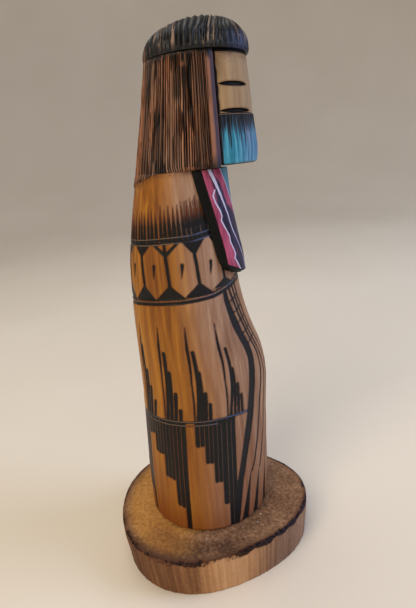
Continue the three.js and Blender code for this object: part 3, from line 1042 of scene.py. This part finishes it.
def over_shoulder(brim, edge, carve):
    """Rows that carry the hair from its brim on over the shoulder, and then in under it."""
    _, middle, depth, width = ROBE[-1]
    side = (FIGURE_X - brim[:, 0]) / width
    ahead = (-brim[:, 1] - middle) / depth
    turn = np.degrees(np.arctan2(side, ahead))
    proud = (np.hypot(side, ahead) - 1) * (depth + width) / 2
    rest = np.where(abs(turn) > 100, 0.3, np.minimum(0.3, proud - 0.6))
    bottom = brim[0, 2]
    rows = []
    for share in np.linspace(0, 1, HAIR_SHOULDER_ROWS + 1)[1:]:
        height = bottom + (edge - bottom) * share
        swell = rest + (proud - rest) * (1 - share) ** 1.5
        rows.append(on_ellipse(ROBE, turn, height, swell - carve * share * (1 - 0.6 * share)))
    for lift, inset in ((0.02, 0.4), (2.5, 0.9), (99, 1.25)):
        rows.append(on_ellipse(ROBE, turn, np.minimum(edge + lift, bottom), rest - inset))
    for row in rows:
        row[:, 1] = np.maximum(row[:, 1], -HAIR_PLANE + 0.25)
    return rows


def hair_shade_and_burns(share, height):
    """Where the hair is darker: painted shade in a band under the cap, some bands of burned strands, low at
    the front, and along the front edge.
    """
    bottom, top = low_and_high("hair_fall")
    below = top - height
    fringe = 2.4 + 2.2 * rough(share * 55, 0 * share, 121)
    return np.maximum.reduce([
        0.95 * step(fringe + 1.2, fringe - 1.2, below) * step(0.22, 0.32, share),
        0.7 * step(0.775, 0.82, share) * step(0.93, 0.915, share),
        0.75 * step(0.6, 0.68, share) * step(0.93, 0.915, share) * step(15, 9, below),
        0.7 * step(0.07, 0.03, abs(share - 0.3)),
        0.8 * step(0.05, 0.03, abs(share - 0.66)) * step(19, 15, below),
        0.6 * step(0.05, 0.02, abs(share - 0.47)) * step(16, 24, below),
        0.8 * step(0.74, 0.8, share) * step(7, 1.5, height - bottom),
        1.0 * step(0.994, 1.0, share),
    ])


def hair_rail(share):
    """1 in the plain strip along the hair's front edge."""
    return step(0.925, 0.94, share)


def hair_wall(share, height, angle, ridge):
    """The hair's outside above its brim, carved into strands, and its flat front."""
    bottom, top = low_and_high("hair_fall")
    groove = 0.8 * (1 - ridge) * (1 - hair_rail(share))
    groove *= np.maximum(step(0, 2, top - height), step(0.34, 0.26, share))
    dents = 0.1 * rough(share * 30, height / 6, 67) + 0.1
    undercut = 0.7 * step(1.6, 0.2, top - height) * step(0.2, 0.32, share)
    undercut += 1.5 * step(2.2, 0, height - bottom) ** 2 * step(0.5, 0.62, share)
    arc = on_ellipse(HAIR, angle, height, -groove - dents - undercut)
    arc[..., 1] = np.maximum(arc[..., 1], -HAIR_PLANE)
    flat = np.array([inward_rows(row[-1], row[0], HAIR_FLAT_COLUMNS) for row in arc])
    return np.concatenate([arc, flat], 1)


def hair_paint(share, height, angle, ridge, tone):
    """What the hair's material reads on the hair's outside, and elsewhere."""
    def and_down(grid, kept=1.0):
        """Adds rows that carry a kept share of the lowest values down over the shoulder."""
        return np.vstack([grid, np.repeat(grid[-1:] * kept, HAIR_SHOULDER_ROWS + 1, 0)])

    curl = and_down(0.8 * step(1.3, 0.5, np.hypot((angle - 104) * 0.45, height - 229)), 0)
    brim = len(height)
    curl[brim - 4:brim + 3, :] += 0.8 * step(0.68, 0.72, share[0]) * step(0.8, 0.77, share[0])
    return {
        "ridge": (and_down(ridge), 0.2),
        "tone": (and_down(tone), 0.3),
        "rail": and_down(hair_rail(share) * step(0.999, 0.985, share)),
        # painted shade under the cap, and darker burned bands of strands
        "dark": (and_down(hair_shade_and_burns(share, height), 0.6), 1),
        # painted reflection: a bluish glint near the hair's front edge
        "blue": and_down(0.8 * step(0.957, 0.974, share) * step(0.999, 0.994, share), 0),
        "curl": curl,
    }


def make_hair():
    bottom, top = low_and_high("hair_fall")
    shares = np.concatenate([np.linspace(1, 0, HAIR_COLUMNS), np.linspace(0, 1, HAIR_COLUMNS)[1:]])
    share, height = np.meshgrid(shares, np.linspace(top, bottom, 118))
    side = np.where(np.arange(len(shares)) < HAIR_COLUMNS, 1.0, -1.0) + 0 * share
    angle = side * (180 - share * (180 - hair_limit(height)))
    ridge, tone = hair_strands(share, height, side)
    upper = hair_wall(share, height, angle, ridge)

    flat = np.zeros(HAIR_FLAT_COLUMNS)
    lowest = bottom - 0.15
    ends = 1.3 * (tone[-1] - 0.5) - 0.7 * (1 - ridge[-1])
    edge = np.append(np.minimum(hair_edge(angle[-1] * 0.94) - ends, lowest), flat + lowest)
    lower = over_shoulder(upper[-1], edge, np.append(0.5 * (1 - ridge[-1]), flat))
    turn = np.degrees(np.arctan2(FIGURE_X - lower[-1][:, 0], -lower[-1][:, 1]))
    hole_low = circle(turn, SOCKET, bottom)
    hole_high = circle(turn, SOCKET, DOWEL_HIGH + GAP)
    middle = upper[0].mean(0)
    crown = middle + 0.02 * (upper[0] - middle)
    lead = [crown] + inward_rows(crown, upper[0], 6)
    tail = inward_rows(lower[-1], hole_low, 6) + [hole_low]
    tail += inward_rows(hole_low, hole_high, 3) + [hole_high]
    points = np.array(lead + list(upper) + lower + tail)
    skin = turned_skin(points, hair_paint(share, height, angle, ridge, tone), len(lead))
    make_piece("hair_combed", "hair_fall", hair_look(), skin)


def cap_place(level, aside):
    """Share of the way round the cap's strands, which fan out from both ends of the parting."""
    rear, front = CAP_PARTING
    past_front, past_rear = (np.arctan2(np.maximum(past, 0), aside) for past in (level - front, rear - level))
    lowest, highest = rear - CAP_FAN * np.pi / 2, front + CAP_FAN * np.pi / 2
    place = np.clip(level, rear, front) + CAP_FAN * (past_front - past_rear)
    return (place - lowest) / (highest - lowest), round((highest - lowest) / CAP_PITCH)


def make_cap():
    sections = sections_of("hair_cap", inner_radius=3)
    bottom, top = low_and_high("hair_cap")
    shoulder, middle, half_depth, half_width = sections[1, 0], *sections[0, 1:]
    dome = shoulder + (top - shoulder) * np.sin(np.linspace(np.pi / 2, 0, 90)[1:])
    heights = np.concatenate([dome, np.linspace(shoulder, bottom, 12)[1:]])
    angle, height = np.meshgrid(full_turn(ROUND_COLUMNS), heights)
    rise = np.maximum(height - shoulder, 0) / (top - shoulder)
    size = np.sqrt(np.maximum(1 - rise ** 2, 0))
    level = middle + half_depth * size * np.cos(np.radians(angle))
    left = -half_width * size * np.sin(np.radians(angle))
    base = np.stack([FIGURE_X + left, -level - CAP_LEAN * rise ** 2, height], -1)

    share, count = cap_place(level, abs(left) + 1e-6)
    wander = 0.004 * rough(share * 12, height / 4, 91)
    split = rough(share * 30, height / 6, 96)
    own = strands_of_sides(angle > 0, np.clip(share + wander, 0, 1), count, 93, (split, split))
    away, low = abs(angle), height - bottom
    back = step(146, 162, away) * step(8, 3, low + 3 * rough(away / 3, 0 * away, 99))
    hair_share = np.clip((180 - away) / (180 - hair_limit(np.array([bottom]))), 0, 1)
    below = hair_strands(hair_share, height, np.where(angle > 0, 1, -1))
    ridge, tone = (mine + (hair - mine) * back for mine, hair in zip(own, below))
    rim = step(3.4 + 3 * step(100, 140, away), 0.8, low + 0.8 * rough(away / 4, low, 95)) * (1 - back)
    attributes = {
        "ridge": ridge,
        "tone": (tone, 0.5),
        "rim": (rim, 1),
        "back": back,
        # painted reflection: a dark blue sheen low on the cap's front
        "blue": step(64, 42, away) * (0.85 - 0.45 * step(38, 12, away)) * step(9, 2, low),
    }
    normal = normals_of(base)
    outward = np.sign((normal * (base - [FIGURE_X, -middle, bottom - 10])).sum(-1, keepdims=True))
    depth = 0.9 * (1 - ridge) * (1 - 0.5 * rim) + 0.05 + 0.35 * rim * step(1.2, 0, low)
    depth -= 0.6 * back * step(5, 1, low)
    carved = base - normal * outward * depth[..., None]
    carved[..., 2] = np.maximum(carved[..., 2], bottom - 0.8 * GAP * back)
    underside = inward_rows(carved[-1], carved[-1] * [0, 0, 1] + [FIGURE_X, -middle, 0], 6)
    skin = turned_skin(np.array(list(carved) + underside), attributes)
    make_piece("hair_cap_carved", "hair_cap", cap_look(), skin)


# ---- face and beard ----
class Mask:
    """A half-round block with a flat back, and where each point of its round front is."""

    def __init__(self, node, count):
        self.bottom, self.top = low_and_high(node)
        self.plane = -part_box(node)[1].y / MM
        self.sections = sections_of(node, AXIS_CLEARANCE, self.plane)
        heights = np.linspace(self.top, self.bottom, count)
        self.share, self.height = np.meshgrid(np.linspace(-1, 1, MASK_COLUMNS), heights)
        middle, depth = (smooth_rows(self.sections, self.height, column) for column in (1, 2))
        limit = np.degrees(np.arccos((self.plane - middle) / depth))
        self.angle = self.share * limit
        self.from_edge = (limit - abs(self.angle)) * FACE_DEGREE

    def skin(self, proud, attributes):
        """A closed skin; rows that shrink to the middle close its top and its bottom."""
        arc = on_ellipse(self.sections, self.angle, self.height, proud)
        arc[..., 1] = np.minimum(arc[..., 1], -self.plane)
        flat = np.array([inward_rows(row[-1], row[0], 24) for row in arc])
        points = np.concatenate([arc, flat], 1)
        lead, tail = (inward_rows(end, end.mean(0) + 0 * end, 5) for end in points[[0, -1]])
        return turned_skin(np.concatenate([lead[::-1], points, tail]), attributes, len(lead))


# Slits on each side of the face: [angle of the middle, height, half length, half height].
EYE_SLIT = (49.3, 220.9, 8.3, 0.95)
MOUTH_SLIT = (48.3, 210.85, 9.3, 0.85)
SLIT_RADIUS = 22.3


def nearest_slit(angle, height):
    """Signed distance to pointed slits that are fuller on their upper side."""
    near = []
    for centre, level, half_length, half_height in (EYE_SLIT, MOUTH_SLIT):
        along = (abs(angle) - centre) * np.radians(SLIT_RADIUS) / half_length
        reach = half_height * np.maximum(1 - abs(along) ** 3.2, 0)
        above = height - level
        inside = np.where(above > 0, above - reach * 1.1, -above - reach * 0.9)
        near.append(np.where(abs(along) < 1, inside, np.hypot(inside, (abs(along) - 1) * half_length)))
    return np.minimum(*near)


def make_face():
    mask = Mask("face_mask", 150)
    angle, height = mask.angle, mask.height
    slit = nearest_slit(angle, height)
    proud = 0.05 * rough(angle / 9, height / 7, 95) - 0.05 - 0.85 * step(0.1, -0.7, slit)
    below = mask.top - height
    edge = mask.from_edge - 0.8 - 0.3 * rough(height / 3, 0 * angle, 97)
    # painted shade: darker under the cap and high on the sides beside the hair
    shade_under_cap = 0.85 * step(5, 0.5, below + rough(angle / 5, height, 98))
    shade_by_hair = 0.7 * step(56, 72, abs(angle)) * step(218, 228, height)
    attributes = {
        "burn_mm": (np.minimum.reduce([slit, edge, below - 0.9]), FAR),
        # painted window light: the front of the face is greyer
        "painted_window_light": 0.45 * step(95, 25, abs(angle)),
        "shade_and_darkening": np.maximum(shade_under_cap, shade_by_hair),
    }
    make_piece("face_carved", "face_mask", face_look(), mask.skin(proud, attributes))


def beard_spikes(angle, below):
    """Signed distance to the dark streaks that hang from the beard's top."""
    rng = np.random.default_rng(101)
    near = np.full(angle.shape, FAR)
    for turn in np.arange(-73, 74, 2.7):
        start = turn + rng.uniform(-0.6, 0.6)
        length = rng.uniform(0.4, 1) * (11 + 4 * step(20, 60, abs(turn)))
        half = rng.uniform(0.5, 0.68)
        line = [(start, -0.4), (start, 0.45 * length), (start + 0.4, length)]
        near = np.minimum(near, line_distance(angle, below, line, [half, 0.66 * half, 0.05]))
    return near


def make_beard():
    mask = Mask("beard_block", 110)
    angle, height, bottom = mask.angle, mask.height, mask.bottom
    below = mask.top - height
    ridge, tone = strands((mask.share + 1) / 2, 27, 103)
    proud = -0.3 * (1 - ridge) * step(bottom + 0.5, bottom + 4, height) - 0.03
    rims = [abs(below - 0.75) - 0.35, height - bottom - 0.35, mask.from_edge - 0.7]
    # painted window light: pale lilac streaks low on the front
    pale = 0.8 * step(0.3, 0.8, tone) * step(bottom + 3, bottom + 13, height) * step(74, 40, abs(angle))
    attributes = {
        "burn_mm": (np.minimum.reduce([beard_spikes(angle, below)] + rims), FAR),
        "ridge": (ridge, 0.5),
        "pale": pale,
        # the sides turn greener; the front keeps the bluer copy, which is painted window light
        "green": step(34, 62, abs(angle)),
        "shade": 0.95 * step(8.5, 2.2, below + rough(angle / 3, 0 * angle, 105)),
        "lip": 0.75 * step(0.4, 0.25, below) * step(0.0, 0.1, below),
    }
    make_piece("beard_painted", "beard_block", beard_look(), mask.skin(proud, attributes))


# ---- slab ----
# By direction: (angle, how thick the burned crust is round the rim), (angle, how pale the side is).
CRUST = [(-180, 0.35), (-90, 0.45), (10, 0.5), (25, 0.95), (70, 1.0), (84, 0.42), (96, 0.45), (116, 0.68),
         (124, 0.4), (150, 0.55), (180, 0.35)]
SIDE_TONE = [(-180, 0.4), (-120, 0.6), (-60, 0.4), (0, 0.5), (40, 0.5), (62, 0.65), (78, 0.95), (92, 0.85),
             (101, 0.45), (116, 0.14), (127, 0.26), (145, 0.06), (180, 0.2)]
STREAK_RADIUS = 0.045             # the side's streaks are laid round a circle of this radius, metres


def slab_outline(angles):
    """The slab's radius by angle, a smooth fit through the CAD outline's corners."""
    points = corners_of("base_slab")
    top = low_and_high("base_slab")[1]
    radius = np.hypot(points[:, 0], points[:, 1])
    wall = (radius > 30) & (points[:, 2] > 0.3) & (points[:, 2] < top - 0.3)
    turn = np.arctan2(-points[wall, 0], -points[wall, 1])

    def waves(angle):
        return np.stack([wave(k * angle) for k in range(7) for wave in (np.cos, np.sin)], -1)

    weights = np.linalg.lstsq(waves(turn), radius[wall], rcond=None)[0]
    return waves(np.radians(angles)) @ weights


def slab_paint(angles, radius, within, top, bark):
    """What the slab's material reads, from the distances to the middle and to the rim."""
    turn = np.radians(angles) + 0 * radius
    from_left = abs((angles - 172 + 180) % 360 - 180)
    near_side = step(60, 84, angles) * step(158, 132, angles)
    return {
        "top": top,
        "bark": bark,
        # painted light: the top is golden towards the figure's back, where the warm light falls
        "painted_warm_light": step(76, 46, from_left) * step(1, 7, within),
        # darker near the rim, most on the camera's side
        "shade_and_darkening": near_side * step(33, 38, radius) + 0.3 * step(5, 0, within),
        "speck": step(80, 50, abs(angles - 85)) * step(43, 36, radius),
        "tone": by_table(angles, SIDE_TONE) + 0 * radius,
        # painted window light: the slab is cooler and greyer towards the front
        "painted_window_light": step(78, 40, angles) * step(-80, -30, angles) + 0 * radius,
        "around_x": -STREAK_RADIUS * np.sin(turn),
        "around_y": -STREAK_RADIUS * np.cos(turn),
    }


def slab_rings(outline, turn64, crust):
    """Rings from the bore over the top, down the side and back: (share of outline, height, top, bark)."""
    bottom, top = low_and_high("base_slab")
    bore, recess = SCREW_BORE / outline, SCREW_RECESS / outline
    for share in np.linspace(0, 1, 76):
        shares = bore + (0.992 - bore) * share
        radius = shares * outline
        within = outline - radius
        bumps = 0.16 * rough(turn64 * 5, radius * 1.1, 111) + 0.2 * rough(turn64 * 2, radius * 0.5, 112)
        sag = 0.25 + 0.5 * step(3, 0, within) * crust
        bark = 0.9 * step(3.2, 0.5, within) * crust + 0.3 * step(0.8, 0.1, within)
        yield shares, top - sag + bumps * step(2.8, 8, radius), 1.0, bark
    edge_band = 2.1 + 1.2 * rough(turn64, 0 * turn64, 115)
    for height in np.linspace(top - 0.6, bottom + 0.5, 34):
        depth = top - height
        chips = 0.25 * rough(turn64 * 3, height * 0.9, 113) * crust * step(4, 0.5, depth)
        bumps = 0.1 * rough(turn64 * 4, height / 14, 114) + 0.06 * rough(turn64 * 9, height / 40, 116)
        lumps = 0.4 * abs(rough(turn64 * 8, height * 1.6, 118)) * crust * step(3.6, 0.8, depth)
        inset = 1.5 * step(3, 21, depth) + 0.35 + 0.5 * step(1.2, 0, depth)
        bark = step(edge_band + 0.8, edge_band - 0.8, depth) * crust + 0.35 * step(0.9, 0.2, depth)
        yield 1 + (chips + bumps + lumps - inset) / outline, height, step(1.0, 0.0, depth), bark
    for share in np.linspace(1, 0, 16):
        yield (1 - 2.4 / outline) * share + recess * (1 - share), bottom, 0.6, 0
    screw_head = low_and_high("base_screw")[0] + 0.35
    for shares, height in ((recess, screw_head), (bore, COUNTERSINK_TOP), (bore, 12)):
        yield shares, height, 0.6, 0


def make_slab():
    angles = full_turn(ROUND_COLUMNS)
    outline = slab_outline(angles)
    turn64 = angles / 360 * 64
    crust = np.clip(by_table(angles, CRUST) + 0.25 * rough(turn64, 0 * angles, 117), 0, 1)
    rings = [np.broadcast_arrays(*ring) for ring in slab_rings(outline, turn64, crust)]
    shares, height, top, bark = np.stack(rings, 1)
    radius = shares * outline
    x = FIGURE_X * (1 - shares) - radius * np.sin(np.radians(angles))
    y = -radius * np.cos(np.radians(angles))
    paint = slab_paint(angles, radius, outline - radius, top, bark)
    skin = turned_skin(np.stack([x, y, height], -1), paint, through_hole=True)
    make_piece("slab_rough", "base_slab", slab_look(), skin)


# ---- studio ----
def make_floor():
    """A pale round floor that curves up into a low wall far behind the object."""
    profile = [(r, 0.0) for r in np.linspace(0.2, 1.2, 6)]
    profile += [(1.2 + 0.9 * np.sin(t), 0.9 - 0.9 * np.cos(t)) for t in np.linspace(0.15, np.pi / 2, 12)]
    profile += [(2.1, 1.8)]
    turns = np.linspace(0, 2 * np.pi, 72, endpoint=False)
    vertices = [(r * np.cos(t), r * np.sin(t), z) for r, z in profile for t in turns]
    faces = grid_faces(len(profile), len(turns)).tolist() + [list(range(len(turns)))[::-1]]
    mesh = bpy.data.meshes.new("floor")
    mesh.from_pydata(vertices, [], faces)
    mesh.shade_smooth()
    look = Look("pale floor", roughness=0.9, specular=0.1)
    paint = look.noise(3, detail=2).ramp((0.3, (232, 222, 206)), (0.7, (238, 229, 214)))
    look.connect({"Base Color": paint}, look.surface)
    mesh.materials.append(look.material)
    floor = bpy.data.objects.new("floor", mesh)
    bpy.context.scene.collection.objects.link(floor)


def make_light(name, place, size, power, colour):
    """A round lamp that faces the middle of the figure."""
    lamp = bpy.data.lights.new(name, "AREA")
    lamp.shape = "DISK"
    lamp.size = size
    lamp.energy = power
    lamp.color = colour
    light = bpy.data.objects.new(name, lamp)
    light.location = place
    light.rotation_euler = (Vector((0, 0, 0.12)) - Vector(place)).to_track_quat("-Z", "Y").to_euler()
    bpy.context.scene.collection.objects.link(light)


def make_lights():
    make_light("key", (-0.75, 0.45, 0.75), 0.7, 6.8, (1.0, 0.87, 0.7))
    make_light("window", (-0.15, -1.35, 0.95), 1.0, 14, (0.58, 0.7, 1.0))
    make_light("top", (0.3, 0.2, 1.2), 0.9, 4.2, (1.0, 0.96, 0.9))
    world = bpy.data.worlds.new("studio")
    world.use_nodes = True
    world.node_tree.nodes["Background"].inputs["Color"].default_value = (0.9, 0.86, 0.8, 1)
    world.node_tree.nodes["Background"].inputs["Strength"].default_value = 0.2
    bpy.context.scene.world = world
    bpy.context.scene.view_settings.view_transform = "Standard"


def make_camera():
    """A view from the figure's right, level with the chin, tipped down and rolled a little."""
    across = Vector((0, -1, 0))
    up = Vector((np.sin(CAMERA_PITCH), 0, np.cos(CAMERA_PITCH)))
    back = Vector((-np.cos(CAMERA_PITCH), 0, np.sin(CAMERA_PITCH)))
    x = np.cos(CAMERA_ROLL) * across - np.sin(CAMERA_ROLL) * up
    y = np.sin(CAMERA_ROLL) * across + np.cos(CAMERA_ROLL) * up
    data = bpy.data.cameras.new("camera")
    data.sensor_width = 36
    data.lens = CAMERA_LENS
    camera = bpy.data.objects.new("camera", data)
    turned = Matrix((x, y, back)).transposed().to_4x4()
    camera.matrix_world = Matrix.Translation(CAMERA_PLACE) @ turned
    bpy.context.scene.collection.objects.link(camera)
    bpy.context.scene.camera = camera


def dress_hidden_parts():
    for node, look in (("neck_dowel", dowel_look()), ("base_screw", screw_look())):
        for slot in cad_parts[node].material_slots:
            slot.material = look


make_camera()
make_lights()
make_floor()
make_robe()
make_lapels()
make_chest()
make_hair()
make_cap()
make_face()
make_beard()
make_slab()
dress_hidden_parts()
